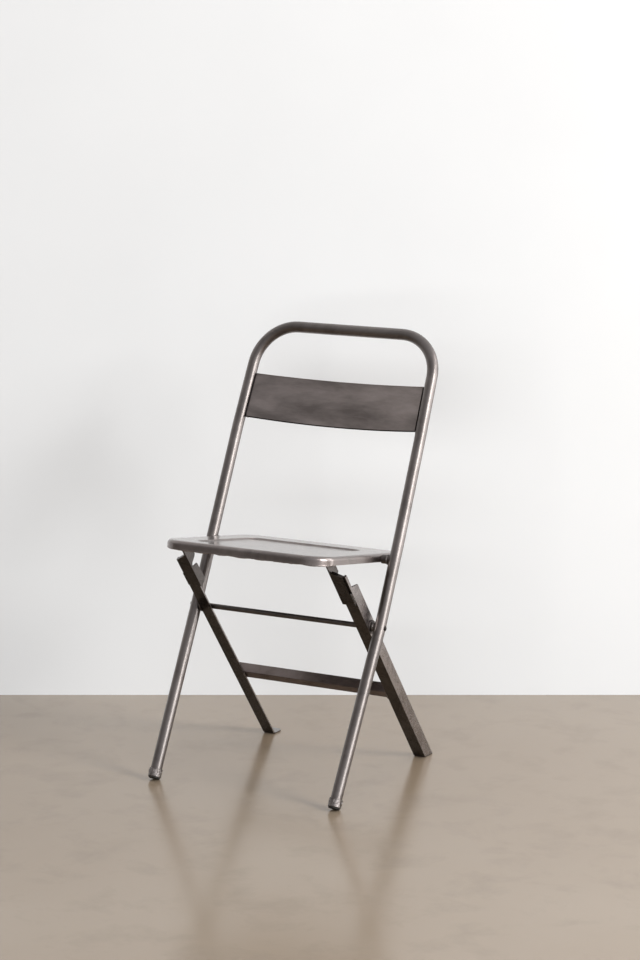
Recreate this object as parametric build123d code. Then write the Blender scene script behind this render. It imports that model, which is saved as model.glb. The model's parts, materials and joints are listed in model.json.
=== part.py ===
from build123d import *
import math
import os

# Folding chair: bent tube frame with a curved back panel, pressed seat pan that
# swings up between the tubes, and rear legs of angle iron that swing forward.
# Frame: X across the chair, Y backward, Z up, origin on the floor at the middle
# of the chair's footprint. Right is +X. All lengths are in millimetres.

# ---- driving dimensions -------------------------------------------------
PIVOT_Y = -43.33         # leg pivot, measured from the middle of the footprint
PIVOT_Z = 311.6          # leg pivot above the floor
TUBE_R = 11.0            # 22 mm tube
TUBE_WALL = 1.5
HALF_W = 201.0           # tube centre line from the middle, at the leg pivot
FOOT_HALF_W = 196.5      # tube centre line from the middle, at the floor
TOP_HALF_W = 196.0       # tube centre line from the middle, at the top bar
BOW_R = 2.2              # how much further out the right tube bows below the shoulder
WAIST_RUN = 176.0        # leg pivot to the top of that bow
SHOULDER_RUN = 366.0     # leg pivot to where the uprights start to draw in
LEAN_TOP = 25.75         # lean of the uprights above the leg pivot, degrees
LEAN_LOW = 28.2          # lean of the uprights below the leg pivot, degrees
TOP_RUN = 575.7          # leg pivot to the top bar's centre line
BEND_R = 83.0            # centre-line radius of the two top bends
KINK_R = 500.0           # centre-line radius of the slight bends

ROD_R = 5.0              # both cross rods are 10 mm
HINGE_CLEAR = 0.06       # radial running clearance on the rods
SEAT_PIVOT_RUN = 131.5   # leg pivot to seat pivot, up the uprights

LEG_LEAN = 37.57         # lean of the rear legs, top forward, degrees
LEG_X = 184.5            # outer face of the rear legs
ANGLE = 25.0             # 25 x 25 x 3 angle iron
ANGLE_T = 3.0
LEG_FRONT = 11.1         # front face of a leg ahead of the leg pivot
LEG_TOP = 170.0          # leg pivot to the top of the leg's uncut bar
SLOPE_TOP = 164.0        # leg pivot to the high end of the sloped cut
TOP_FALL_L = 19.5        # fall of the cut to the outer face, left leg
TOP_FALL_R = 12.5        # fall of the cut to the outer face, right leg
FOOT_T = 3.0             # rear foot plate thickness

SEAT_HALF = 176.5
SEAT_TILT = 8.6          # rear edge lower, degrees
SEAT_Z = 137.25          # seat top plane above the leg pivot, straight over it
SEAT_FRONT = -172.5      # along the seat, from the point over the leg pivot
SEAT_REAR = 155.0
SEAT_DROP = 15.8         # skirt depth
SHEET = 1.5
EDGE_R = 7.5             # rounding where the seat's top turns into the skirt
CORNER_F = 45.0
CORNER_R = 40.0

BACK_LOW = 384.5         # back panel's lower edge above the leg pivot, up the tube
BACK_TOP = 473.5
BACK_BOW = 15.0          # how far the panel's middle bows backward
BACK_T = 2.0

BRACKET_X = 154.5        # inner face of the brackets
STOP_GAP = 0.4           # rest gap between a bracket and the seat


# ---- working planes -------------------------------------------------------
def lean_plane(degrees, y=PIVOT_Y, z=PIVOT_Z):
    """Plane through the leg pivot: local x across, local y up a leaning member,
    local z out of its front. A positive lean takes the top backward."""
    a = math.radians(degrees)
    front = (0, -math.cos(a), math.sin(a))
    return Plane(origin=(0, y, z), x_dir=(1, 0, 0), z_dir=front)


def seat_plane():
    """Local x across, local y backward along the seat, local z out of its top."""
    a = math.radians(SEAT_TILT)
    return Plane(
        origin=(0, PIVOT_Y, PIVOT_Z + SEAT_Z),
        x_dir=(1, 0, 0),
        z_dir=(0, math.sin(a), math.cos(a)),
    )


UPRIGHT = lean_plane(LEAN_TOP)
LOWER = lean_plane(LEAN_LOW)
LEG = lean_plane(-LEG_LEAN)
SEAT = seat_plane()


def place(plane, shape):
    """Move a shape from a working plane's local frame into the chair's frame."""
    return plane.location * shape


def box(x0, x1, y0, y1, z0, z1):
    """Box from its six limits."""
    size = Box(x1 - x0, y1 - y0, z1 - z0)
    return Pos((x0 + x1) / 2, (y0 + y1) / 2, (z0 + z1) / 2) * size


def rod_x(x0, x1, radius, y, z):
    """Cylinder along X."""
    bar = Rot(0, 90, 0) * Cylinder(radius, x1 - x0)
    return Pos((x0 + x1) / 2, y, z) * bar


def point_on(plane, x, along, front=0.0):
    """Chair-frame point at a place in a working plane."""
    return plane.from_local_coords(Vector(x, along, front))


def one(shape):
    """The single solid of a shape, cleaned."""
    solids = shape.solids()
    solids = sorted(solids, key=lambda s: -s.volume)
    return solids[0]


def mirrored(shape):
    """The same piece for the other side of the chair."""
    return mirror(shape, about=Plane.YZ)


SEAT_PIVOT = point_on(UPRIGHT, 0, SEAT_PIVOT_RUN)


# ---- tube frame -------------------------------------------------------------
def knee_half(side):
    """How far out a tube's centre line is at the leg pivot."""
    return HALF_W + (BOW_R if side > 0 else 0.0)


def foot_point(side, lift=0.0):
    """Centre of a front foot on the floor, or lifted up the tube from it."""
    a = math.radians(LEAN_LOW)
    low = PIVOT_Z / math.cos(a)
    y = PIVOT_Y - PIVOT_Z * math.tan(a)
    foot = Vector(side * FOOT_HALF_W, y, 0)
    knee = Vector(side * knee_half(side), PIVOT_Y, PIVOT_Z)
    step = (knee - foot).normalized()
    return foot + step * min(lift, low)


def rounded_path(points, radii):
    """Wire through points, each inner corner rounded with its own radius."""
    edges = []
    start = points[0]
    for i in range(1, len(points) - 1):
        here = points[i]
        back = (points[i - 1] - here).normalized()
        ahead = (points[i + 1] - here).normalized()
        half = math.radians(back.get_angle(ahead)) / 2
        reach = radii[i - 1] / math.tan(half)
        middle = here + (back + ahead).normalized() * (
            radii[i - 1] / math.sin(half) - radii[i - 1]
        )
        arc_start = here + back * reach
        arc_end = here + ahead * reach
        edges.append(Edge.make_line(start, arc_start))
        edges.append(Edge.make_three_point_arc(arc_start, middle, arc_end))
        start = arc_end
    edges.append(Edge.make_line(start, points[-1]))
    return Wire(edges)


def frame_path(lift):
    """Centre line of the tube, from one foot over the top to the other."""
    knee_l = Vector(-knee_half(-1), PIVOT_Y, PIVOT_Z)
    knee_r = Vector(knee_half(1), PIVOT_Y, PIVOT_Z)
    waist_r = point_on(UPRIGHT, knee_half(1), WAIST_RUN)
    shoulder_l = point_on(UPRIGHT, -HALF_W, SHOULDER_RUN)
    shoulder_r = point_on(UPRIGHT, HALF_W, SHOULDER_RUN)
    top_l = point_on(UPRIGHT, -TOP_HALF_W, TOP_RUN)
    top_r = point_on(UPRIGHT, TOP_HALF_W, TOP_RUN)
    left = [foot_point(-1, lift), knee_l, shoulder_l, top_l]
    right = [top_r, shoulder_r, waist_r, knee_r, foot_point(1, lift)]
    radii = [KINK_R, KINK_R, BEND_R, BEND_R, KINK_R, KINK_R, KINK_R]
    return rounded_path(left + right, radii)


def frame_bar(radius, lift):
    """Solid bar that follows the tube's centre line."""
    path = frame_path(lift)
    start = Plane(origin=path @ 0, z_dir=path % 0)
    return sweep(start * Circle(radius), path=path)


TUBE_LIFT = 10.5
TUBE_OUTER = frame_bar(TUBE_R, TUBE_LIFT)


def make_tube_frame():
    """Bent tube with holes for the leg rod and for the inner ends of the seat rod."""
    tube = TUBE_OUTER - frame_bar(TUBE_R - TUBE_WALL, TUBE_LIFT)
    tube -= rod_x(-230, 230, ROD_R, PIVOT_Y, PIVOT_Z)
    tube -= rod_x(-HALF_W, HALF_W + BOW_R, ROD_R, SEAT_PIVOT.Y, SEAT_PIVOT.Z)
    return one(tube)


def foot_frame(side):
    """Plane at a front foot's centre on the floor, its z up the tube."""
    low = foot_point(side)
    return Plane(origin=low, x_dir=(1, 0, 0), z_dir=foot_point(side, 100) - low)


FERRULE_R = 12.6
FERRULE_LOW = 7.0
FERRULE_TOP = 22.5
PAD_R = 10.9
PAD_LOW = 4.6


def upright_cylinder(radius, low, high):
    """Cylinder up local z between two heights."""
    return Pos(0, 0, (low + high) / 2) * Cylinder(radius, high - low)


def make_ferrule(side):
    """Pressed steel sleeve on the end of a tube."""
    sleeve = upright_cylinder(FERRULE_R, FERRULE_LOW, FERRULE_TOP)
    sleeve = fillet(sleeve.edges().sort_by(Axis.Z)[0], 1.2)
    sleeve = fillet(sleeve.edges().sort_by(Axis.Z)[-1], 1.0)
    sleeve -= upright_cylinder(TUBE_R, FERRULE_LOW - 5, FERRULE_TOP + 5)
    return one(place(foot_frame(side), sleeve))


def make_foot_pad(side):
    """Rubber plug in the sleeve, cut flat where its back edge stands on the floor."""
    plug = upright_cylinder(PAD_R, PAD_LOW, TUBE_LIFT - 0.3)
    plug = fillet(plug.edges().sort_by(Axis.Z)[0], 0.8)
    pad = place(foot_frame(side), plug)
    return one(pad - box(-400, 400, -400, 400, -60, 0))


# ---- back panel ---------------------------------------------------------------
def bowed_strip(half, thickness):
    """Section of the back panel across the chair: an arc that bows away from the
    sitter, its ends at height 0. Local x across, local y forward."""
    radius = (half * half + BACK_BOW * BACK_BOW) / (2 * BACK_BOW)
    angle = math.asin(half / radius)
    inner = radius - thickness
    x_in = inner * math.sin(angle)
    y_in = radius - BACK_BOW - inner * math.cos(angle)
    rear = Edge.make_three_point_arc((-half, 0), (0, -BACK_BOW), (half, 0))
    front = Edge.make_three_point_arc((x_in, y_in), (0, thickness - BACK_BOW), (-x_in, y_in))
    side_r = Edge.make_line((half, 0), (x_in, y_in))
    side_l = Edge.make_line((-x_in, y_in), (-half, 0))
    return make_face([rear, side_r, front, side_l])


def below_curve(low, sag):
    """Block under the back panel, its top edge sagging in the middle."""
    lower = Edge.make_three_point_arc((-230, low), (0, low - sag), (230, low))
    down = Edge.make_line((230, low), (230, low - 20))
    across = Edge.make_line((230, low - 20), (-230, low - 20))
    up = Edge.make_line((-230, low - 20), (-230, low))
    return extrude(Pos(0, 0, -40) * make_face([lower, down, across, up]), amount=80, dir=(0, 0, 1))


def make_backrest_panel():
    """Curved sheet between the tubes, with a tab turned back along each tube."""
    draw_in = (HALF_W - TOP_HALF_W) / (TOP_RUN - SHOULDER_RUN)
    turn = math.degrees(math.atan(draw_in))
    half = HALF_W - TUBE_R - 0.7 - draw_in * (BACK_LOW - SHOULDER_RUN)
    panel = along_member(bowed_strip(half + 1.5, BACK_T), BACK_LOW - 3.0, BACK_TOP)
    for side in (-1, 1):
        hinge = Pos(side * half, BACK_LOW, 0) * Rot(0, 0, side * turn)
        outside = box(0, 30, -30, 120, -40, 20)
        tab = box(-BACK_T, 0, 0, BACK_TOP - BACK_LOW, -13, 1.6)
        tab = fillet(tab.edges().filter_by(Axis.X).sort_by(Axis.Z)[:2], 5)
        if side < 0:
            outside = mirrored(outside)
            tab = mirrored(tab)
        panel -= hinge * outside
        panel += hinge * tab
    return one(place(UPRIGHT, panel - below_curve(BACK_LOW, 2.4)))


# ---- rods and spacers -----------------------------------------------------------
def make_leg_pivot_rod():
    """Rod through both tubes and both rear legs, its ends just below flush."""
    reach = HALF_W + TUBE_R - 1.0
    return one(rod_x(-reach, reach + BOW_R, ROD_R, PIVOT_Y, PIVOT_Z))


def make_seat_pivot_rod():
    """Rod under the seat, welded into holes in the tubes' inner walls."""
    reach = HALF_W - TUBE_R + 3.0
    return one(rod_x(-reach, reach + BOW_R, ROD_R, SEAT_PIVOT.Y, SEAT_PIVOT.Z))


def on_side(side, shape):
    """A shape of the right side, or the same shape over on the left side."""
    return shape if side > 0 else mirrored(shape)


def make_pivot_washer(side):
    """Collar on the rod that keeps a rear leg off its tube."""
    low = LEG_X + 0.35
    high = knee_half(side) - 6.0
    ring = rod_x(low, low + 2.2, 13.0, PIVOT_Y, PIVOT_Z)
    ring = fillet(ring.edges(), 0.5)
    sleeve = rod_x(low + 0.2, high, 7.5, PIVOT_Y, PIVOT_Z)
    ring += sleeve - on_side(side, TUBE_OUTER)
    ring -= rod_x(low - 5, high + 5, ROD_R, PIVOT_Y, PIVOT_Z)
    return on_side(side, one(ring))


def make_seat_spacer(side):
    """Sleeve on the seat rod between the seat's skirt and a tube."""
    low = SEAT_HALF + 0.4
    high = knee_half(side) - 6.0
    sleeve = rod_x(low, high, 8.5, SEAT_PIVOT.Y, SEAT_PIVOT.Z)
    sleeve = fillet(sleeve.faces().sort_by(Axis.X)[0].edges(), 1.0)
    sleeve -= rod_x(low - 5, high + 5, ROD_R, SEAT_PIVOT.Y, SEAT_PIVOT.Z)
    return on_side(side, one(sleeve - on_side(side, TUBE_OUTER)))


# ---- rear legs ----------------------------------------------------------------
def angle_section(x_corner, x_toe, front, depth, thickness):
    """Angle iron's section, its corner at the front. Local x across, y forward."""
    way = 1 if x_toe > x_corner else -1
    inner = x_corner + way * thickness
    points = [
        (x_corner, front),
        (x_toe, front),
        (x_toe, front - thickness),
        (inner, front - thickness),
        (inner, front - depth),
        (x_corner, front - depth),
    ]
    face = make_face(Polyline(*points, close=True).edges())
    corners = face.vertices()
    root = [v for v in corners if abs(v.X - inner) < 0.01 and abs(v.Y - front + thickness) < 0.01]
    face = fillet(root, 1.8)
    outer = [v for v in face.vertices() if abs(v.X - x_corner) < 0.01 and abs(v.Y - front) < 0.01]
    return fillet(outer, 0.8)


def along_member(face, low, high):
    """Extrude a section drawn across a member so that it runs along local y."""
    stood = Plane(origin=(0, low, 0), x_dir=(1, 0, 0), z_dir=(0, -1, 0))
    return extrude(stood * face, amount=high - low, dir=(0, 1, 0))


def side_prism(points, x0, x1):
    """Prism across the chair from (along, front) points of a member's side view."""
    spots = [Vector(x0, a, f) for a, f in points]
    face = make_face(Polyline(*spots, close=True).edges())
    return extrude(face, amount=x1 - x0, dir=(1, 0, 0))


def slope_block(top_fall):
    """Block over the sloped tops of the right leg and its bracket. The slope starts
    at the bracket's plate and has fallen by top_fall at the leg's outer face."""
    x0 = BRACKET_X + ANGLE_T
    reach = LEG_X - x0
    far = 40.0
    fall = top_fall * (far + reach) / reach
    outline = [(x0, SLOPE_TOP), (LEG_X + far, SLOPE_TOP - fall)]
    outline += [(LEG_X + far, 300), (x0, 300)]
    face = make_face(Polyline(*[Vector(x, a, -40) for x, a in outline], close=True).edges())
    return extrude(face, amount=100, dir=(0, 0, 1))


def make_rear_leg(top_fall):
    """Right rear leg. Its side flange is cut back at the top to clear the seat pivot."""
    section = angle_section(LEG_X, LEG_X - ANGLE, LEG_FRONT, ANGLE, ANGLE_T)
    leg = along_member(section, -430, LEG_TOP) - slope_block(top_fall)
    cut = [(119, 4.6), (LEG_TOP + 5, 4.6), (LEG_TOP + 5, -20), (101, -20)]
    leg -= side_prism(cut, LEG_X - ANGLE_T - 0.02, LEG_X + 1)
    inner_cut = [(119, LEG_FRONT - ANGLE_T), (LEG_TOP + 5, LEG_FRONT - ANGLE_T)]
    inner_cut += [(LEG_TOP + 5, -20), (101, -20)]
    leg -= side_prism(inner_cut, LEG_X - 8, LEG_X - ANGLE_T - 0.02)
    leg = place(LEG, leg)
    leg -= rod_x(150, 200, ROD_R + HINGE_CLEAR, PIVOT_Y, PIVOT_Z)
    return one(leg - box(-300, 300, -500, 600, -300, FOOT_T))


def make_rear_foot():
    """Right rear foot: a plate that closes the end of the angle iron."""
    front = PIVOT_Y + (PIVOT_Z - LEG_FRONT / math.sin(math.radians(LEG_LEAN))) * math.tan(
        math.radians(LEG_LEAN)
    )
    run = ANGLE / math.cos(math.radians(LEG_LEAN))
    plate = box(LEG_X - ANGLE - 0.4, LEG_X, front + 1.2, front + run + 1.2, 0, FOOT_T)
    upright = plate.edges().filter_by(Axis.Z)
    inner = upright.sort_by(Axis.X)[:2].sort_by(Axis.Y)[-1]
    plate = fillet([inner], 11.0)
    upright = plate.edges().filter_by(Axis.Z)
    outer = [e for e in upright if e.center().X > LEG_X - 0.05 and e.center().Y > front + 20]
    plate = fillet(outer, 4.0)
    rim = plate.faces().sort_by(Axis.Z)[0].edges()
    return one(chamfer(rim, 0.8))


CROSS_CORNER = -189.4
CROSS_TOP = 22.0
CROSS_FRONT = 16.0


def make_rear_crossbar():
    """Angle iron across the rear legs, behind their front flanges."""
    front = LEG_FRONT - ANGLE_T
    half = LEG_X - ANGLE_T - 0.2
    low = CROSS_CORNER - CROSS_FRONT
    points = [
        (CROSS_CORNER, front),
        (low, front),
        (low, front - ANGLE_T),
        (CROSS_CORNER - ANGLE_T, front - ANGLE_T),
        (CROSS_CORNER - ANGLE_T, front - CROSS_TOP),
        (CROSS_CORNER, front - CROSS_TOP),
    ]
    bar = side_prism(points, -half, half)
    lengthwise = bar.edges().filter_by(Axis.X)
    root = lengthwise.sort_by_distance((0, CROSS_CORNER - ANGLE_T, front - ANGLE_T))[0]
    bar = fillet([root], 2.0)
    corner = bar.edges().filter_by(Axis.X).sort_by_distance((0, CROSS_CORNER, front))[0]
    bar = fillet([corner], 1.5)
    for side in (-1, 1):
        x0 = side * (half - 4)
        x1 = side * (half + 5)
        bar -= box(min(x0, x1), max(x0, x1), CROSS_CORNER - 40, CROSS_CORNER + 5, front - 4.2, front + 1)
    return one(place(LEG, bar))


# ---- brackets at the tops of the rear legs ------------------------------------
def make_leg_bracket(top_fall):
    """Right bracket: angle iron welded to the leg. Its inner flange carries the seat
    on its top, and its notch swallows the seat rod when the chair is folded."""
    front = LEG_FRONT + ANGLE_T
    section = angle_section(BRACKET_X, BRACKET_X + 28.0, front, 24.5, ANGLE_T)
    piece = along_member(section, 76.0, 240.0)
    edge = box(BRACKET_X + ANGLE, BRACKET_X + 40, 109, 260, LEG_FRONT - 1, front + 1)
    piece = piece - edge - slope_block(top_fall)
    notch = [(143, -12), (139.6, -6.5), (135.2, 6.0), (132.0, 8.8), (126.6, 8.8)]
    notch += [(122.2, -4.6), (115.0, -4.8), (70.0, -6.6), (70.0, -12)]
    piece -= side_prism(notch, BRACKET_X - 5, BRACKET_X + ANGLE_T + 2.6)
    piece = place(LEG, piece)
    above = box(-300, 300, -400, 400, -SHEET - ANGLE_T - STOP_GAP, 200)
    return one(piece - place(SEAT, above))


# ---- seat -----------------------------------------------------------------------
def rounded_slab(inset, low, high, edge_radius):
    """Slab with the seat's outline, its top edge rounded."""
    length = SEAT_REAR - SEAT_FRONT - 2 * inset
    width = 2 * (SEAT_HALF - inset)
    middle = (SEAT_REAR + SEAT_FRONT) / 2
    slab = box(
        -width / 2, width / 2, middle - length / 2, middle + length / 2, low, high
    )
    upright = slab.edges().filter_by(Axis.Z).sort_by(Axis.Y)
    slab = fillet(upright[:2], CORNER_F - inset)
    rear = [e for e in slab.edges().filter_by(Axis.Z) if e.center().Y > middle + length / 2 - 1]
    slab = fillet(rear, CORNER_R - inset)
    return fillet(slab.faces().sort_by(Axis.Z)[-1].edges(), edge_radius)


PRESS_HALF = 124.0
PRESS_FRONT = -138.0
PRESS_REAR = 86.0
PRESS_DEPTH = 2.6


def pressed_block(grow, low, high):
    """Block with the outline of the seat's pressed middle."""
    block = box(
        -PRESS_HALF - grow, PRESS_HALF + grow, PRESS_FRONT - grow, PRESS_REAR + grow, low, high
    )
    return fillet(block.edges().filter_by(Axis.Z), 26.0 + grow)


def make_seat_pan():
    """Pressed pan: rounded edge, hollow below, its middle pressed down a little."""
    pan = rounded_slab(0, -SEAT_DROP, 0, EDGE_R)
    pan -= rounded_slab(SHEET, -SEAT_DROP - 1, -SHEET, EDGE_R - SHEET)
    dish = pressed_block(0, -PRESS_DEPTH, 5)
    lowest = dish.faces().sort_by(Axis.Z)[0].edges()
    dish = chamfer(lowest, PRESS_DEPTH * 0.9, PRESS_DEPTH * 0.9)
    pan += pressed_block(SHEET, -PRESS_DEPTH - SHEET, -0.5)
    pan -= dish
    pan = place(SEAT, pan)
    pan -= rod_x(-200, 200, ROD_R + HINGE_CLEAR, SEAT_PIVOT.Y, SEAT_PIVOT.Z)
    return one(pan)


def make_seat_pivot_plate():
    """Right bearing plate, welded inside the skirt around the seat rod."""
    local = SEAT.to_local_coords(SEAT_PIVOT)
    inner = SEAT_HALF - SHEET
    plate = box(inner - 3.0, inner, local.Y - 24, local.Y + 24, -SEAT_DROP + 1.2, -SHEET)
    plate &= rounded_slab(SHEET, -SEAT_DROP, -SHEET, EDGE_R - SHEET)
    plate = place(SEAT, plate)
    return one(plate - rod_x(140, 200, ROD_R + HINGE_CLEAR, SEAT_PIVOT.Y, SEAT_PIVOT.Z))


def bracket_tip_y():
    """Where the front corner of a bracket's sloped top lies along the seat."""
    a = math.radians(LEG_LEAN)
    front = LEG_FRONT + ANGLE_T
    target = -SHEET - ANGLE_T - STOP_GAP
    low, high = 100.0, 260.0
    for _ in range(60):
        mid = (low + high) / 2
        spot = Vector(0, PIVOT_Y - mid * math.sin(a) - front * math.cos(a), 0)
        spot += Vector(0, 0, PIVOT_Z + mid * math.cos(a) - front * math.sin(a))
        if SEAT.to_local_coords(spot).Z < target:
            low = mid
        else:
            high = mid
    return SEAT.to_local_coords(spot).Y


def make_seat_stop():
    """Right stop: a bent plate welded under the pan that the bracket pushes against."""
    tip = bracket_tip_y()
    x0 = BRACKET_X - 8.0
    x1 = BRACKET_X + 11.0
    pad = box(x0, x1, tip - STOP_GAP - 3.0, tip + 34.0, -SHEET - ANGLE_T, -SHEET)
    lip = box(x0, x1, tip - STOP_GAP - 3.0, tip - STOP_GAP, -14.5, -SHEET)
    lip = fillet(lip.edges().filter_by(Axis.Y).sort_by(Axis.Z)[:2], 3.0)
    return one(place(SEAT, pad + lip))


# ---- write every node --------------------------------------------------------------
def main():
    """Build each piece once and write it to its own file."""
    os.makedirs("parts", exist_ok=True)
    foot = make_rear_foot()
    plate = make_seat_pivot_plate()
    stop = make_seat_stop()
    nodes = {
        "tube_frame": make_tube_frame(),
        "backrest_panel": make_backrest_panel(),
        "front_ferrule_left": make_ferrule(-1),
        "front_ferrule_right": make_ferrule(1),
        "front_foot_pad_left": make_foot_pad(-1),
        "front_foot_pad_right": make_foot_pad(1),
        "leg_pivot_rod": make_leg_pivot_rod(),
        "leg_pivot_washer_left": make_pivot_washer(-1),
        "leg_pivot_washer_right": make_pivot_washer(1),
        "seat_pivot_rod": make_seat_pivot_rod(),
        "seat_spacer_left": make_seat_spacer(-1),
        "seat_spacer_right": make_seat_spacer(1),
        "rear_leg_left": mirrored(make_rear_leg(TOP_FALL_L)),
        "rear_leg_right": make_rear_leg(TOP_FALL_R),
        "rear_foot_left": mirrored(foot),
        "rear_foot_right": foot,
        "rear_crossbar": make_rear_crossbar(),
        "leg_bracket_left": mirrored(make_leg_bracket(TOP_FALL_L)),
        "leg_bracket_right": make_leg_bracket(TOP_FALL_R),
        "seat_pan": make_seat_pan(),
        "seat_pivot_plate_left": mirrored(plate),
        "seat_pivot_plate_right": plate,
        "seat_stop_left": mirrored(stop),
        "seat_stop_right": stop,
    }
    for name, shape in nodes.items():
        export_step(shape, f"parts/{name}.step")


main()
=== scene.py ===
import json
import math
import random

import bmesh
import bpy
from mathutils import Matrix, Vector

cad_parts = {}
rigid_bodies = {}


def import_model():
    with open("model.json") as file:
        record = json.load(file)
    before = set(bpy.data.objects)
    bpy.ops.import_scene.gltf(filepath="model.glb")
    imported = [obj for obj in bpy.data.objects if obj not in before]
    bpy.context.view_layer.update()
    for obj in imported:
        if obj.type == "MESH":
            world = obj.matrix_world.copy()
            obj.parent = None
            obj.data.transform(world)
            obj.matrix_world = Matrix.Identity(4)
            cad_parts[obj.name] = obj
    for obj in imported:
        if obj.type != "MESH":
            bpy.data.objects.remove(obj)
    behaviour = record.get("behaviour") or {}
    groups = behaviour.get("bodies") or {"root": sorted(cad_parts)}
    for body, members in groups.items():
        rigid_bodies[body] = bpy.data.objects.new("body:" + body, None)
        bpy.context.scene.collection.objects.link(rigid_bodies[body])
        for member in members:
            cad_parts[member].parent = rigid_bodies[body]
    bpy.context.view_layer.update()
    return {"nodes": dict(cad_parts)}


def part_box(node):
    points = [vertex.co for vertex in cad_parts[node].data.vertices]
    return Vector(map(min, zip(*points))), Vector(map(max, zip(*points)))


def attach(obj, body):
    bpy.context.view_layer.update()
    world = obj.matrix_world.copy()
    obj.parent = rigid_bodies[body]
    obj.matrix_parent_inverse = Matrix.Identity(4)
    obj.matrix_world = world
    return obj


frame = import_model()
NODES = frame["nodes"]

# ---- the chair's own lines, in metres, as in the CAD ----------------------------
LEG_PIVOT = Vector((0.0, -0.04333, 0.3116))
LEAN_TOP = math.radians(25.75)
LEAN_LOW = math.radians(28.2)
LEG_LEAN = math.radians(-37.57)
SEAT_TILT = math.radians(8.6)
SEAT_ORIGIN = LEG_PIVOT + Vector((0.0, 0.0, 0.13725))
SEAT_HALF = 0.1765
SEAT_FRONT = -0.1725
SEAT_REAR = 0.155
SEAT_DROP = 0.0158
CORNER_FRONT = 0.045
CORNER_REAR = 0.040
LEG_OUTER = 0.1845        # outer face of a rear leg, from the middle
LEG_FRONT = 0.0111        # front face of a rear leg, ahead of its pivot line
ANGLE_T = 0.003
ANGLE_W = 0.025
CROSSBAR_TOP = -0.1894    # along the legs, from their pivot
KNEE_HALF = 0.2010        # tube's line at the leg pivot, from the middle
FOOT_HALF = 0.1965        # and at the floor
RIGHT_BOW = 0.0022        # the right tube bows out this much further
DRAW_IN_FROM = 0.366      # where the uprights start to draw in
DRAW_IN = 0.0239          # and how much they do, per length
BACK_HALF = 0.1892
BACK_BOW = 0.015
BACK_WELD_HALF = 0.1900
BACK_WELD_DEPTH = -0.0115
SEAM_HALF = 0.1882
SEAM_START = 0.3860
SEAM_RUN = 0.0862

# ---- sizes of the mesh-built details ---------------------------------------------
HEM_R = 0.0015
HEM_INSET = 0.0013        # hem's line, in from the pan's outline
HEM_STEP = 0.004
HEM_HANG = 0.0007         # how far the front hem hangs below the skirt
HEM_WAVER = 0.0016
HEM_TUCK = 0.0012         # how far the hem is tucked up on the other sides
ROD_DOME = ((-0.001, 0.0049), (0.0006, 0.0050), (0.0014, 0.0045), (0.0021, 0.0033), (0.0025, 0.0015))
FERRULE_R = 0.0122
RIM_HEIGHT = 0.0221
CRIMP_R = 0.01255
CRIMP_FOOT = 0.0135
CRIMP_TAPER = (0.0003, 0.0008, 0.0010, 0.0010, 0.0009, 0.0006, 0.0002)
PUNCH_TAPER = (0.0010, 0.0011, 0.0010, 0.0005)
CROSS_WELD_FRONT = 0.0112     # a bead's line, just ahead of the leg's front face
BRACKET_WELD_FRONT = 0.0113
BRACKET_FOOT = 0.0757         # lower end of a bracket, along the leg
BRACKET_EDGE = 0.1827         # its outer edge, from the middle
FOOT_WELD_UP = 0.0034         # on top of the foot plate
SPACER_WELD_X = 0.1893
COLLAR_WELD_X = 0.1897


def on_lean(angle, x, along, front):
    """Point in a leaning member's own directions: across, up it, and out of its front."""
    up = Vector((0.0, math.sin(angle), math.cos(angle)))
    out = Vector((0.0, -math.cos(angle), math.sin(angle)))
    return LEG_PIVOT + Vector((x, 0.0, 0.0)) + up * along + out * front


def on_leg(x, along, front):
    return on_lean(LEG_LEAN, x, along, front)


def on_seat(x, back, up):
    """Point in the seat's own directions: across, backward along it, and out of its top."""
    c, s = math.cos(SEAT_TILT), math.sin(SEAT_TILT)
    return SEAT_ORIGIN + Vector((x, back * c + up * s, -back * s + up * c))


# ---- steel finish, shared by every steel --------------------------------------------
GRAIN_SCALE = 1400.0
GRAIN_DEPTH = 0.00005
DENT_DEPTH = 0.0011
SCRATCH_GAIN = 1.9        # a scratch is this much brighter than the light tone
WORN_GAIN = 2.4           # and a rubbed edge this much

# ---- camera, stage and light ------------------------------------------------------
CAMERA_AT = Vector((2.5275, -4.3814, 1.5029))
CAMERA_YAW = math.radians(-29.489)
CAMERA_PITCH = math.radians(10.479)
BRIGHT_SIDE = (0.90, 0.10, 0.42)
WALL_OFF = 0.543          # wall behind the footprint's middle, along the view
FLOOR_HALF = 14.0
WALL_HALF = 8.0
WALL_HEIGHT = 6.0
LAMP_TARGET = (0, 0, 0.4)
WORLD_DIM = (0.190, 0.178, 0.166, 1.0)
WORLD_BRIGHT = (0.86, 0.875, 0.91, 1.0)
WORLD_RANGE = (-0.65, 0.75)   # how far along BRIGHT_SIDE the sky goes from dim to bright
# Each lamp: name, azimuth, height, distance, size, power.
STEEL_LAMPS = (
    ("key", 85.0, 2.35, 5.0, (3.0, 3.8), 265.0),
    ("window", 80.0, 3.0, 5.0, (0.7, 0.9), 46.0),
    ("edge_light", 132.0, 1.0, 2.0, (1.4, 2.2), 33.0),
    ("ceiling_left", -62.0, 3.0, 3.2, (2.0, 2.0), 5.0),
)
ROOM_LAMPS = (
    ("room", 86.0, 2.5, 4.6, (1.5, 1.5), 205.0),
    ("front_fill", 15.0, 1.2, 6.0, (3.0, 2.0), 125.0),
)
VIEW_FLAT = Vector((math.sin(CAMERA_YAW), math.cos(CAMERA_YAW), 0.0))


def aim(obj, target):
    """Turn an object so that its -Z looks at a point, its Y upright."""
    direction = Vector(target) - obj.location
    obj.rotation_euler = direction.to_track_quat("-Z", "Y").to_euler()


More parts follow.
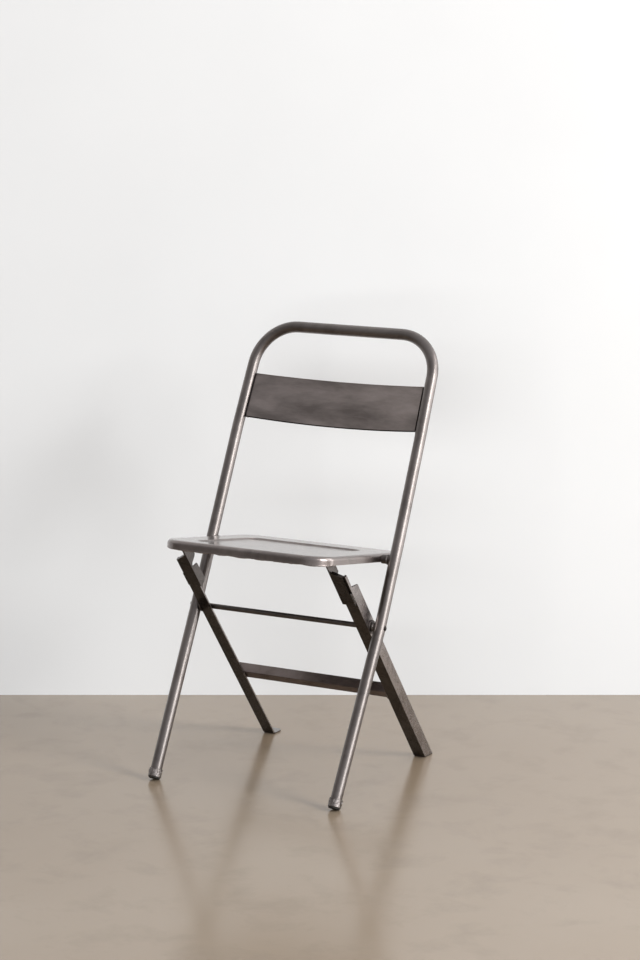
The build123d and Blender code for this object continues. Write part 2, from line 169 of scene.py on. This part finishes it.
def make_camera():
    data = bpy.data.cameras.new("photo_camera")
    data.sensor_width = 36.0
    data.lens = 101.44
    data.clip_start = 0.05
    data.clip_end = 60.0
    cam = bpy.data.objects.new("photo_camera", data)
    cam.location = CAMERA_AT
    forward = VIEW_FLAT * math.cos(CAMERA_PITCH)
    forward.z = -math.sin(CAMERA_PITCH)
    aim(cam, CAMERA_AT + forward)
    bpy.context.scene.collection.objects.link(cam)
    bpy.context.scene.camera = cam


def area_light(name, azimuth, height, distance, size, power, tint=(1, 1, 1)):
    """Soft rectangular light at an azimuth from -Y towards +X, aimed at the chair."""
    data = bpy.data.lights.new(name, "AREA")
    data.shape = "RECTANGLE"
    data.size, data.size_y = size
    data.energy = power
    data.color = tint
    lamp = bpy.data.objects.new(name, data)
    a = math.radians(azimuth)
    lamp.location = (math.sin(a) * distance, -math.cos(a) * distance, height)
    lamp.visible_camera = False
    aim(lamp, LAMP_TARGET)
    bpy.context.scene.collection.objects.link(lamp)
    return lamp


# ---- node helpers ------------------------------------------------------------------
class Graph:
    """A material's node tree, with short calls for the nodes used here."""

    def __init__(self, name):
        self.mat = bpy.data.materials.new(name)
        self.mat.use_nodes = True
        self.tree = self.mat.node_tree
        self.tree.nodes.clear()
        self.out = self.tree.nodes.new("ShaderNodeOutputMaterial")

    def add(self, kind, **settings):
        node = self.tree.nodes.new(kind)
        for key, value in settings.items():
            setattr(node, key, value)
        return node

    def link(self, source, target):
        self.tree.links.new(source, target)

    def put(self, socket, value):
        """Link a socket to another's output, or set its value."""
        if isinstance(value, bpy.types.NodeSocket):
            self.link(value, socket)
        else:
            socket.default_value = value

    def coords(self, scale=(1, 1, 1), turn=(0, 0, 0)):
        """Object coordinates, which stay with the piece as it moves."""
        where = self.add("ShaderNodeTexCoord").outputs["Object"]
        mapping = self.add("ShaderNodeMapping")
        self.link(where, mapping.inputs["Vector"])
        mapping.inputs["Rotation"].default_value = turn
        mapping.inputs["Scale"].default_value = scale
        return mapping.outputs["Vector"]

    def noise(self, scale, detail=4.0, rough=0.55, distort=0.0, vector=None):
        node = self.add("ShaderNodeTexNoise")
        node.inputs["Scale"].default_value = scale
        node.inputs["Detail"].default_value = detail
        node.inputs["Roughness"].default_value = rough
        node.inputs["Distortion"].default_value = distort
        self.link(vector or self.coords(), node.inputs["Vector"])
        return node.outputs["Fac"]

    def span(self, value, low, high, to_low=0.0, to_high=1.0):
        node = self.add("ShaderNodeMapRange")
        node.clamp = True
        self.put(node.inputs["Value"], value)
        node.inputs["From Min"].default_value = low
        node.inputs["From Max"].default_value = high
        node.inputs["To Min"].default_value = to_low
        node.inputs["To Max"].default_value = to_high
        return node.outputs["Result"]

    def math(self, operation, a, b=0.0, clamp=False):
        node = self.add("ShaderNodeMath", operation=operation, use_clamp=clamp)
        self.put(node.inputs[0], a)
        self.put(node.inputs[1], b)
        return node.outputs[0]

    def mix(self, fac, a, b):
        """Blend of two colours; a colour is a socket or three numbers."""
        node = self.add("ShaderNodeMix", data_type="RGBA", blend_type="MIX")
        self.put(node.inputs[0], fac)
        self.put(node.inputs[6], a if not isinstance(a, tuple) else (*a, 1.0))
        self.put(node.inputs[7], b if not isinstance(b, tuple) else (*b, 1.0))
        return node.outputs[2]

    def edges(self, radius, low, high):
        """1 on outer and inner edges, 0 on flats."""
        bevel = self.add("ShaderNodeBevel", samples=4)
        bevel.inputs["Radius"].default_value = radius
        flat = self.add("ShaderNodeNewGeometry").outputs["Normal"]
        dot = self.add("ShaderNodeVectorMath", operation="DOT_PRODUCT")
        self.link(bevel.outputs[0], dot.inputs[0])
        self.link(flat, dot.inputs[1])
        return self.span(dot.outputs["Value"], 1.0 - low, 1.0 - high)

    def facing_sideways(self):
        """1 on faces that look left or right on the piece itself, 0 on the others."""
        parts = self.add("ShaderNodeSeparateXYZ")
        self.link(self.add("ShaderNodeTexCoord").outputs["Normal"], parts.inputs[0])
        return self.span(self.math("ABSOLUTE", parts.outputs["X"]), 0.75, 0.95)

    def bump(self, height, distance, strength=1.0, normal=None):
        node = self.add("ShaderNodeBump")
        node.inputs["Strength"].default_value = strength
        node.inputs["Distance"].default_value = distance
        self.put(node.inputs["Height"], height)
        if normal is not None:
            self.link(normal, node.inputs["Normal"])
        return node.outputs["Normal"]

    def principled(self, color, roughness, normal=None, **constants):
        shader = self.add("ShaderNodeBsdfPrincipled")
        self.put(shader.inputs["Base Color"], color)
        self.put(shader.inputs["Roughness"], roughness)
        if normal is not None:
            self.link(normal, shader.inputs["Normal"])
        for key, value in constants.items():
            shader.inputs[key.replace("_", " ")].default_value = value
        self.link(shader.outputs[0], self.out.inputs["Surface"])
        return self.mat


def scratches(g, scale, stretch, turn, threshold):
    """Thin straight scratches: 1 on a scratch. Noise drawn out along one direction."""
    vector = g.coords(scale=(stretch, 1.0, 1.0), turn=turn)
    lines = g.noise(scale, detail=2.0, rough=0.5, vector=vector)
    return g.span(lines, threshold, threshold + 0.05)


def brighter(color, gain):
    return tuple(min(1.0, c * gain) for c in color)


def steel(name, light, dark, tint, rough, blotch=9.0, wear=0.55, edge=0.0016, coat=0.35,
          stretch=(1, 1, 1), dents=0.25, mottle=0.38, stain=0.55, coat_rough=0.16,
          scratch=0.16, side=None, swirl=0.6):
    """Bare steel under lacquer: mottled tone, heat-tinted blotches, rolled grain,
    fine scratches, and edges rubbed bright. light, dark and tint are its tones; side is
    a painted light tone for the faces that look sideways, lighter where light falls on them from the side."""
    g = Graph(name)
    drawn = g.coords(scale=stretch)
    clouds = g.noise(blotch, detail=5.0, rough=0.6, distort=swirl, vector=drawn)
    spots = g.noise(blotch * 5.5, detail=4.0, rough=0.62, distort=0.2, vector=drawn)
    grain = g.noise(GRAIN_SCALE, detail=3.0, rough=0.7)
    tone = g.math("ADD", g.math("MULTIPLY", clouds, 1.0 - mottle), g.math("MULTIPLY", spots, mottle))
    color = g.mix(g.span(tone, 0.38, 0.64), dark, light)
    color = g.mix(g.span(spots, 0.56, 0.72, 0.0, stain), color, tint)
    # Painted light: faces that look sideways take the lighter side tone, as if lit from the side, broken up
    # by the mottling.
    if side is not None:
        side_light_patches = g.span(tone, 0.30, 0.60, 0.55, 1.0)
        color = g.mix(g.math("MULTIPLY", g.facing_sideways(), side_light_patches), color, side)
    lines = g.math("MAXIMUM", scratches(g, 420.0, 0.02, (0.3, 0.7, 0.4), 0.665),
                   scratches(g, 300.0, 0.03, (1.1, 0.2, 2.1), 0.68))
    color = g.mix(g.math("MULTIPLY", lines, scratch), color, brighter(light, SCRATCH_GAIN))
    rubbed = g.math("MULTIPLY", g.edges(edge, 0.02, 0.22), g.span(g.noise(120.0), 0.35, 0.62))
    color = g.mix(g.math("MULTIPLY", rubbed, wear), color, brighter(light, WORN_GAIN))
    low, high = rough
    gloss = g.span(g.math("ADD", g.math("MULTIPLY", clouds, 0.5), g.math("MULTIPLY", grain, 0.5)),
                   0.32, 0.68, low, high)
    gloss = g.math("SUBTRACT", gloss, g.math("MULTIPLY", lines, 0.08), clamp=True)
    relief = g.math("ADD", g.math("MULTIPLY", grain, 0.25), g.math("MULTIPLY", lines, -0.25))
    bumps = g.bump(relief, GRAIN_DEPTH, 0.25)
    bumps = g.bump(spots, DENT_DEPTH, dents, normal=bumps)
    return g.principled(color, gloss, bumps, Metallic=1.0, Coat_Weight=coat, Coat_Roughness=coat_rough)


def rubber(name):
    g = Graph(name)
    cloud = g.noise(160.0, detail=5.0)
    grit = g.noise(2600.0, detail=2.0)
    color = g.mix(g.span(cloud, 0.35, 0.7), (0.010, 0.009, 0.008), (0.024, 0.021, 0.019))
    dusty = g.edges(0.001, 0.03, 0.3)
    color = g.mix(g.math("MULTIPLY", dusty, 0.5), color, (0.065, 0.058, 0.052))
    bump = g.bump(g.math("ADD", g.math("MULTIPLY", grit, 0.5), cloud), 0.0002, 0.5)
    return g.principled(color, g.span(cloud, 0.3, 0.7, 0.55, 0.8), bump, Specular_IOR_Level=0.4)


def weld(name):
    g = Graph(name)
    ripple = g.noise(900.0, detail=4.0, distort=0.8)
    heat = g.noise(240.0, detail=3.0)
    color = g.mix(g.span(heat, 0.35, 0.65), (0.09, 0.08, 0.076), (0.25, 0.225, 0.21))
    color = g.mix(g.span(ripple, 0.55, 0.7, 0.0, 0.6), color, (0.42, 0.39, 0.375))
    bump = g.bump(ripple, 0.0003, 0.6)
    return g.principled(color, g.span(heat, 0.3, 0.7, 0.32, 0.55), bump, Metallic=1.0, Coat_Weight=0.3,
                        Coat_Roughness=0.2)


# ---- materials on the CAD nodes ----------------------------------------------------
TUBE = steel("tube_steel", (0.178, 0.155, 0.146), (0.108, 0.092, 0.085), (0.120, 0.096, 0.082),
             (0.33, 0.45), blotch=11.0, wear=0.2, edge=0.0008, coat=0.65, dents=0.04,
             mottle=0.25, stain=0.35, coat_rough=0.24, scratch=0.05)
SHEET = steel("sheet_steel", (0.350, 0.301, 0.285), (0.160, 0.136, 0.127), (0.175, 0.141, 0.123),
              (0.36, 0.50), blotch=11.0, wear=0.6, edge=0.0009, coat=0.3, stretch=(0.5, 1, 1.8),
              dents=0.10, mottle=0.06, stain=0.2, scratch=0.04, swirl=0.15)
SEAT = steel("seat_steel", (0.280, 0.242, 0.229), (0.178, 0.151, 0.141), (0.192, 0.155, 0.136), (0.27, 0.38),
             blotch=10.0, wear=0.35, edge=0.002, coat=0.85, dents=0.10, mottle=0.3, scratch=0.10)
ANGLE = steel("angle_steel", (0.140, 0.121, 0.113), (0.078, 0.065, 0.058), (0.085, 0.067, 0.055),
              (0.20, 0.32), blotch=13.0, wear=0.75, edge=0.0010, coat=0.9, dents=0.06,
              mottle=0.25, stain=0.4, scratch=0.08)
# Painted shade and light: legs and brackets are darker copies of the angle steel, for the shade on their
# front faces, with a lighter painted tone on their sideways faces for the light from the side.
LEG = steel("leg_steel_painted_shade_and_light", (0.060, 0.050, 0.045), (0.030, 0.024, 0.020), (0.036, 0.027, 0.021),
            (0.22, 0.34), blotch=13.0, wear=0.75, edge=0.0010, coat=0.3, dents=0.06,
            mottle=0.25, stain=0.4, scratch=0.08, side=(0.36, 0.325, 0.315))
BRACKET = steel("bracket_steel_painted_shade_and_light", (0.048, 0.040, 0.036), (0.024, 0.019, 0.016), (0.028, 0.021, 0.017),
                (0.22, 0.34), blotch=16.0, wear=0.8, edge=0.0010, coat=0.2, dents=0.08,
                mottle=0.25, stain=0.4, scratch=0.08, side=(0.13, 0.115, 0.108))
CROSSBAR = steel("crossbar_steel", (0.178, 0.143, 0.134), (0.110, 0.086, 0.079), (0.118, 0.088, 0.075),
                 (0.26, 0.38), blotch=13.0, wear=0.7, edge=0.0010, coat=0.4, dents=0.06,
                 mottle=0.25, stain=0.4, scratch=0.08)
ROD = steel("rod_steel", (0.14, 0.121, 0.114), (0.080, 0.068, 0.062), (0.09, 0.073, 0.062), (0.38, 0.52),
            blotch=24.0, wear=0.4, edge=0.0008, coat=0.3, dents=0.05)
# Painted shadow: near-black steel for the back panel's lower hem, the gaps where the panel meets the tubes,
# the rod ends and the ferrule punch marks, standing in for the shade there.
SHADOW = steel("painted_shadow_steel", (0.030, 0.025, 0.023), (0.014, 0.011, 0.010), (0.022, 0.016, 0.012),
               (0.40, 0.60), blotch=60.0, wear=0.3, edge=0.0005, coat=0.1, dents=0.2)
FERRULE = steel("ferrule_steel", (0.30, 0.27, 0.26), (0.085, 0.070, 0.062), (0.10, 0.078, 0.066),
                (0.28, 0.46), blotch=110.0, wear=0.75, edge=0.0009, coat=0.5, dents=0.7)
RUBBER = rubber("black_rubber")
WELD = weld("weld_bead")

LOOKS = {
    "tube_frame": (TUBE, "polished_steel"),
    "backrest_panel": (SHEET, "sheet_steel"),
    "seat_pan": (SEAT, "seat_steel"),
    "rear_crossbar": (CROSSBAR, "angle_steel"),
    "leg_pivot_rod": (ROD, "rod_steel"),
    "seat_pivot_rod": (ROD, "rod_steel"),
}
for side in ("left", "right"):
    LOOKS[f"front_ferrule_{side}"] = (FERRULE, "ferrule_steel")
    LOOKS[f"front_foot_pad_{side}"] = (RUBBER, "black_rubber")
    LOOKS[f"leg_pivot_washer_{side}"] = (ROD, "rod_steel")
    LOOKS[f"seat_spacer_{side}"] = (ROD, "rod_steel")
    LOOKS[f"rear_leg_{side}"] = (LEG, "angle_steel")
    LOOKS[f"leg_bracket_{side}"] = (BRACKET, "angle_steel")
    for stem in ("rear_foot", "seat_pivot_plate", "seat_stop"):
        LOOKS[f"{stem}_{side}"] = (ANGLE, "angle_steel")

for node_name, (material, slot_name) in LOOKS.items():
    node = NODES[node_name]
    node.data.materials.clear()
    node.data.materials.append(material)


# ---- mesh-built details -----------------------------------------------------------------
def smooth_path(points, step):
    """Points at an even step along a polyline."""
    out = [points[0]]
    for a, b in zip(points, points[1:]):
        count = max(1, int(round((b - a).length / step)))
        out += [a.lerp(b, i / count) for i in range(1, count + 1)]
    return out


def tube_mesh(name, path, radii, sides, closed=False):
    """Skin rings of the given radii along a path. An open one is capped flat at both ends."""
    bm = bmesh.new()
    rings = []
    count = len(path)
    normal = None
    for i, point in enumerate(path):
        ahead = path[(i + 1) % count] if closed or i < count - 1 else point
        behind = path[i - 1] if closed or i > 0 else point
        tangent = (ahead - behind).normalized()
        if normal is None:
            normal = tangent.orthogonal().normalized()
        normal = (normal - tangent * normal.dot(tangent)).normalized()
        side = tangent.cross(normal)
        ring = []
        for k in range(sides):
            a = 2 * math.pi * k / sides
            offset = normal * math.cos(a) + side * math.sin(a)
            ring.append(bm.verts.new(point + offset * radii[i]))
        rings.append(ring)
    pairs = list(zip(rings, rings[1:])) + ([(rings[-1], rings[0])] if closed else [])
    for low, high in pairs:
        for k in range(sides):
            j = (k + 1) % sides
            bm.faces.new((low[k], low[j], high[j], high[k]))
    if not closed:
        bm.faces.new(rings[0][::-1])
        bm.faces.new(rings[-1])
    bmesh.ops.recalc_face_normals(bm, faces=bm.faces)
    mesh = bpy.data.meshes.new(name)
    bm.to_mesh(mesh)
    bm.free()
    for polygon in mesh.polygons:
        polygon.use_smooth = True
    return mesh


def smooth_step(start, end, value):
    """0 before start, 1 past end, eased between."""
    t = min(1.0, max(0.0, (value - start) / (end - start)))
    return t * t * (3.0 - 2.0 * t)


def add_piece(name, mesh, material, body):
    mesh.materials.append(material)
    piece = bpy.data.objects.new(name, mesh)
    bpy.context.scene.collection.objects.link(piece)
    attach(piece, body)
    return piece


def weld_bead(name, points, radius, body, seed):
    """Weld bead along a polyline: overlapping ripples of slightly uneven size."""
    draw = random.Random(seed)
    step = radius * 0.45
    path = smooth_path([Vector(p) for p in points], step)
    count = len(path)
    radii = []
    for i in range(count):
        ripple = 1.0 + 0.13 * math.sin(i * 1.9) + draw.uniform(-0.08, 0.08)
        taper = min(1.0, (min(i, count - 1 - i) + 0.6) / 2.2)
        radii.append(radius * ripple * taper ** 0.6)
    wander = [Vector([draw.uniform(-0.12, 0.12) * radius for _ in range(3)]) for _ in path]
    path = [p + w for p, w in zip(path, wander)]
    return add_piece(name, tube_mesh(name, path, radii, 10), WELD, body)


def ring_points(centre, axis, radius, start=0.0, sweep=360.0, count=24):
    """Points round an axis, for a bead round a rod."""
    axis = Vector(axis).normalized()
    first = axis.orthogonal().normalized()
    second = axis.cross(first)
    angles = [math.radians(start + sweep * i / count) for i in range(count + 1)]
    return [Vector(centre) + (first * math.cos(a) + second * math.sin(a)) * radius for a in angles]


def seat_outline(inset, count=9):
    """The pan's outline in the seat's own directions, from the middle of its back edge."""
    corners = [
        (SEAT_HALF, SEAT_REAR, CORNER_REAR, 90),
        (SEAT_HALF, SEAT_FRONT, CORNER_FRONT, 0),
        (-SEAT_HALF, SEAT_FRONT, CORNER_FRONT, -90),
        (-SEAT_HALF, SEAT_REAR, CORNER_REAR, -180),
    ]
    points = []
    for x, y, radius, start in corners:
        cx = x - math.copysign(radius, x)
        cy = y - math.copysign(radius, y)
        for i in range(count):
            a = math.radians(start - 90.0 * i / (count - 1))
            points.append((cx + (radius - inset) * math.cos(a), cy + (radius - inset) * math.sin(a)))
    return points


def make_seat_hem():
    """Rolled lower edge of the pan's skirt: it hangs lower along the front, and wavers
    where it was beaten over by hand."""
    draw = random.Random(5)
    flat = [Vector((x, y, 0.0)) for x, y in seat_outline(HEM_INSET)]
    flat = smooth_path(flat + flat[:1], HEM_STEP)[:-1]
    wave = [draw.uniform(-1, 1) for _ in range(len(flat))]
    path, radii = [], []
    for i, p in enumerate(flat):
        soft = sum(wave[(i + k) % len(flat)] for k in range(-2, 3)) / 5.0
        front = smooth_step(-0.120, -0.150, p.y) * smooth_step(-0.172, -0.140, p.x)
        hang = front * (HEM_HANG + soft * HEM_WAVER) - (1.0 - front) * HEM_TUCK
        path.append(on_seat(p.x, p.y, -SEAT_DROP - hang))
        radii.append(HEM_R * (1.0 + 0.25 * soft * front))
    mesh = tube_mesh("seat_pan_hem", path, radii, 12, closed=True)
    return add_piece("seat_pan_hem", mesh, SEAT, "seat")


def make_back_hem():
    """Rolled edges along the back panel's top and bottom, the lower one in painted shadow,
    and dark strips of painted shadow in the gaps where its ends meet the tubes."""
    # The lower hem takes the painted shadow steel, for the shade under the panel's bottom edge.
    for name, material, along, sag, radius, shrink in (
        ("back_hem_low", SHADOW, 0.3848, 0.0024, 0.0013, 0.0),
        ("back_hem_top", SHEET, 0.4732, 0.0, 0.0011, 0.0021),
    ):
        path = []
        reach = BACK_HALF - shrink
        for i in range(41):
            u = -1.0 + 2.0 * i / 40
            path.append(on_lean(LEAN_TOP, u * reach, along - sag * (1 - u * u),
                                0.001 - BACK_BOW * (1 - u * u)))
        mesh = tube_mesh(name, path, [radius] * len(path), 12)
        add_piece(name, mesh, material, "frame")
    # Painted shadow: thin dark strips along the panel's ends, for the shade in the gaps beside the tubes.
    for word, way in (("left", -1), ("right", 1)):
        path = []
        for i in range(25):
            along = SEAM_START + SEAM_RUN * i / 24
            edge = SEAM_HALF - (along - DRAW_IN_FROM) * DRAW_IN
            path.append(on_lean(LEAN_TOP, way * edge, along, 0.0016))
        mesh = tube_mesh(f"back_shadow_gap_{word}", path, [0.0012] * len(path), 10)
        add_piece(f"back_shadow_gap_{word}", mesh, SHADOW, "frame")


def make_rod_ends():
    """Ends of the leg rod, low domes standing just proud of the tubes, drawn in near-black painted shadow
    for the shade round them.
    """
    low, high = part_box("leg_pivot_rod")
    for word, way, face in (("left", -1, low.x), ("right", 1, high.x)):
        path = [Vector((face + way * x, LEG_PIVOT.y, LEG_PIVOT.z)) for x, _ in ROD_DOME]
        mesh = tube_mesh(f"rod_end_{word}", path, [r for _, r in ROD_DOME], 20)
        add_piece(f"rod_end_{word}", mesh, SHADOW, "frame")


def make_ferrule_crimps():
    """Uneven crimps round each ferrule: a rolled upper rim, short ribs, and punch marks drawn in painted
    shadow.
    """
    for word, way in (("left", -1), ("right", 1)):
        draw = random.Random(90 + way)
        foot = Vector((way * FOOT_HALF, LEG_PIVOT.y - LEG_PIVOT.z * math.tan(LEAN_LOW), 0.0))
        knee = Vector((way * (KNEE_HALF + (RIGHT_BOW if way > 0 else 0.0)), LEG_PIVOT.y, LEG_PIVOT.z))
        axis = (knee - foot).normalized()
        first = axis.cross(Vector((0, 0, 1))).normalized()
        second = axis.cross(first)

        def at(height, radius, angle):
            return foot + axis * height + (first * math.cos(angle) + second * math.sin(angle)) * radius

        rim, radii = [], []
        for i in range(48):
            a = 2 * math.pi * i / 48
            height = RIM_HEIGHT + 0.0007 * math.sin(5 * a) + draw.uniform(-0.0002, 0.0002)
            rim.append(at(height, FERRULE_R, a))
            radii.append(0.0008 + draw.uniform(-0.0001, 0.0002))
        mesh = tube_mesh(f"ferrule_rim_{word}", rim, radii, 8, closed=True)
        add_piece(f"ferrule_rim_{word}", mesh, FERRULE, "frame")
        for i in range(9):
            a = 2 * math.pi * (i + draw.uniform(-0.2, 0.2)) / 9
            top = 0.0212 - draw.uniform(0.0, 0.002)
            path = [at(top + (CRIMP_FOOT - top) * k / 6, CRIMP_R, a) for k in range(7)]
            mesh = tube_mesh(f"ferrule_crimp_{word}_{i}", path, CRIMP_TAPER, 8)
            add_piece(f"ferrule_crimp_{word}_{i}", mesh, FERRULE, "frame")
        # Painted shade: the punch marks are near-black, for the shade inside the dents.
        for i in range(5):
            a = draw.uniform(0, 2 * math.pi)
            spot = draw.uniform(0.0115, 0.0185)
            path = [at(spot, FERRULE_R + 0.0002 * k, a) for k in range(4)]
            mesh = tube_mesh(f"ferrule_punch_{word}_{i}", path, PUNCH_TAPER, 10)
            add_piece(f"ferrule_punch_{word}_{i}", mesh, SHADOW, "frame")


def make_welds():
    """Beads where the welder joined the pieces, each on its own body."""
    cross_front = LEG_FRONT - ANGLE_T
    cross = CROSSBAR_TOP
    for word, way in (("left", -1), ("right", 1)):
        inner = way * (LEG_OUTER - ANGLE_T)
        toe = way * (LEG_OUTER - ANGLE_W)
        weld_bead(f"weld_crossbar_front_{word}",
                  [on_leg(toe, cross - 0.001, CROSS_WELD_FRONT),
                   on_leg(toe, cross - 0.0155, CROSS_WELD_FRONT)],
                  0.0013, "rear_legs", 11 + way)
        weld_bead(f"weld_crossbar_top_{word}",
                  [on_leg(inner, cross + 0.0003, cross_front - 0.004),
                   on_leg(inner, cross + 0.0003, cross_front - 0.020)],
                  0.0016, "rear_legs", 21 + way)
        weld_bead(f"weld_bracket_low_{word}",
                  [on_leg(way * 0.1600, BRACKET_FOOT, BRACKET_WELD_FRONT),
                   on_leg(way * 0.1790, BRACKET_FOOT, BRACKET_WELD_FRONT)],
                  0.0013, "rear_legs", 31 + way)
        weld_bead(f"weld_bracket_edge_{word}",
                  [on_leg(way * BRACKET_EDGE, 0.080, BRACKET_WELD_FRONT),
                   on_leg(way * BRACKET_EDGE, 0.106, BRACKET_WELD_FRONT)],
                  0.0012, "rear_legs", 41 + way)
        foot_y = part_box(f"rear_foot_{word}")[0].y
        weld_bead(f"weld_foot_{word}",
                  [Vector((way * 0.1610, foot_y + 0.0022, FOOT_WELD_UP)),
                   Vector((way * 0.1835, foot_y + 0.0022, FOOT_WELD_UP))],
                  0.0012, "rear_legs", 51 + way)
        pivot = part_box("seat_pivot_rod")
        centre = Vector((way * SPACER_WELD_X, (pivot[0].y + pivot[1].y) / 2, (pivot[0].z + pivot[1].z) / 2))
        weld_bead(f"weld_seat_spacer_{word}", ring_points(centre, (1, 0, 0), 0.0086),
                  0.0013, "frame", 61 + way)
        collar = Vector((way * COLLAR_WELD_X, LEG_PIVOT.y, LEG_PIVOT.z))
        weld_bead(f"weld_leg_collar_{word}", ring_points(collar, (1, 0, 0), 0.0077),
                  0.0012, "frame", 71 + way)
        for part, along in (("low", 0.392), ("high", 0.462)):
            edge = way * (BACK_WELD_HALF - (along - DRAW_IN_FROM) * DRAW_IN)
            weld_bead(f"weld_back_{part}_{word}",
                      [on_lean(LEAN_TOP, edge, along - 0.005, BACK_WELD_DEPTH),
                       on_lean(LEAN_TOP, edge, along + 0.006, BACK_WELD_DEPTH)],
                      0.0014, "frame", 81 + way)


make_seat_hem()
make_back_hem()
make_rod_ends()
make_ferrule_crimps()
make_welds()


# ---- stage ----------------------------------------------------------------------------
def concrete():
    """Pale sealed floor: broad warm clouds, a few scuffs, and a soft gloss."""
    g = Graph("floor_concrete")
    where = g.coords()
    clouds = g.noise(0.9, detail=5.0, rough=0.5, distort=0.5, vector=where)
    patches = g.noise(9.0, detail=6.0, rough=0.62, distort=0.3, vector=where)
    grit = g.noise(240.0, detail=3.0, rough=0.6, vector=where)
    color = g.mix(g.span(clouds, 0.3, 0.7), (0.268, 0.201, 0.137), (0.308, 0.244, 0.178))
    color = g.mix(g.span(patches, 0.50, 0.74, 0.0, 0.30), color, (0.165, 0.125, 0.086))
    color = g.mix(g.span(grit, 0.60, 0.80, 0.0, 0.10), color, (0.15, 0.12, 0.09))
    gloss = g.span(patches, 0.3, 0.7, 0.17, 0.25)
    return g.principled(color, gloss, g.bump(patches, 0.0002, 0.04), Specular_IOR_Level=1.0)


def plaster():
    """Pale wall that shows only from its front, so that views from behind pass it."""
    g = Graph("wall_paint")
    clouds = g.noise(1.2, detail=4.0)
    color = g.mix(g.span(clouds, 0.3, 0.7), (0.725, 0.732, 0.730), (0.760, 0.767, 0.765))
    g.principled(color, 0.85, Specular_IOR_Level=0.0)
    shader = [n for n in g.tree.nodes if n.type == "BSDF_PRINCIPLED"][0]
    clear = g.add("ShaderNodeBsdfTransparent")
    mixer = g.add("ShaderNodeMixShader")
    g.link(g.add("ShaderNodeNewGeometry").outputs["Backfacing"], mixer.inputs[0])
    g.link(shader.outputs[0], mixer.inputs[1])
    g.link(clear.outputs[0], mixer.inputs[2])
    g.link(mixer.outputs[0], g.out.inputs["Surface"])
    return g.mat


def stage_plane(name, corners, material):
    mesh = bpy.data.meshes.new(name)
    mesh.from_pydata([tuple(c) for c in corners], [], [(0, 1, 2, 3)])
    mesh.materials.append(material)
    plane = bpy.data.objects.new(name, mesh)
    bpy.context.scene.collection.objects.link(plane)


def make_stage():
    far = FLOOR_HALF
    stage_plane("floor", [(-far, -far, 0), (far, -far, 0), (far, far, 0), (-far, far, 0)], concrete())
    middle = VIEW_FLAT * WALL_OFF
    across = Vector((VIEW_FLAT.y, -VIEW_FLAT.x, 0.0))
    low_l = middle - across * WALL_HALF
    low_r = middle + across * WALL_HALF
    up = Vector((0, 0, WALL_HEIGHT))
    stage_plane("wall", [low_l, low_r, low_r + up, low_l + up], plaster())


def make_world():
    """Studio surroundings: bright and neutral to the right, dim and warm at the front left."""
    world = bpy.data.worlds.new("studio")
    world.use_nodes = True
    tree = world.node_tree
    background = tree.nodes["Background"]
    way = tree.nodes.new("ShaderNodeVectorMath")
    way.operation = "DOT_PRODUCT"
    way.inputs[1].default_value = BRIGHT_SIDE
    tree.links.new(tree.nodes.new("ShaderNodeTexCoord").outputs["Generated"], way.inputs[0])
    ramp = tree.nodes.new("ShaderNodeMapRange")
    ramp.inputs["From Min"].default_value = WORLD_RANGE[0]
    ramp.inputs["From Max"].default_value = WORLD_RANGE[1]
    tree.links.new(way.outputs["Value"], ramp.inputs["Value"])
    shade = tree.nodes.new("ShaderNodeMix")
    shade.data_type = "RGBA"
    shade.inputs[6].default_value = WORLD_DIM
    shade.inputs[7].default_value = WORLD_BRIGHT
    tree.links.new(ramp.outputs["Result"], shade.inputs[0])
    tree.links.new(shade.outputs[2], background.inputs["Color"])
    background.inputs["Strength"].default_value = 1.0
    bpy.context.scene.world = world


def make_lamps():
    """Lamps that only the chair mirrors, so that the floor shows no glare from the side,
    and lamps that light floor and wall and leave no highlight."""
    chair_only = bpy.data.collections.new("chair_only")
    for piece in bpy.context.scene.objects:
        if piece.type == "MESH" and piece.name not in ("floor", "wall"):
            chair_only.objects.link(piece)
    for settings in STEEL_LAMPS:
        lamp = area_light(*settings)
        lamp.visible_diffuse = False
        lamp.light_linking.receiver_collection = chair_only
    for settings in ROOM_LAMPS:
        lamp = area_light(*settings, tint=(0.99, 0.99, 1.0))
        lamp.visible_glossy = False


make_camera()
make_stage()
make_world()
make_lamps()
bpy.context.scene.view_settings.view_transform = "Standard"
bpy.context.scene.view_settings.look = "None"
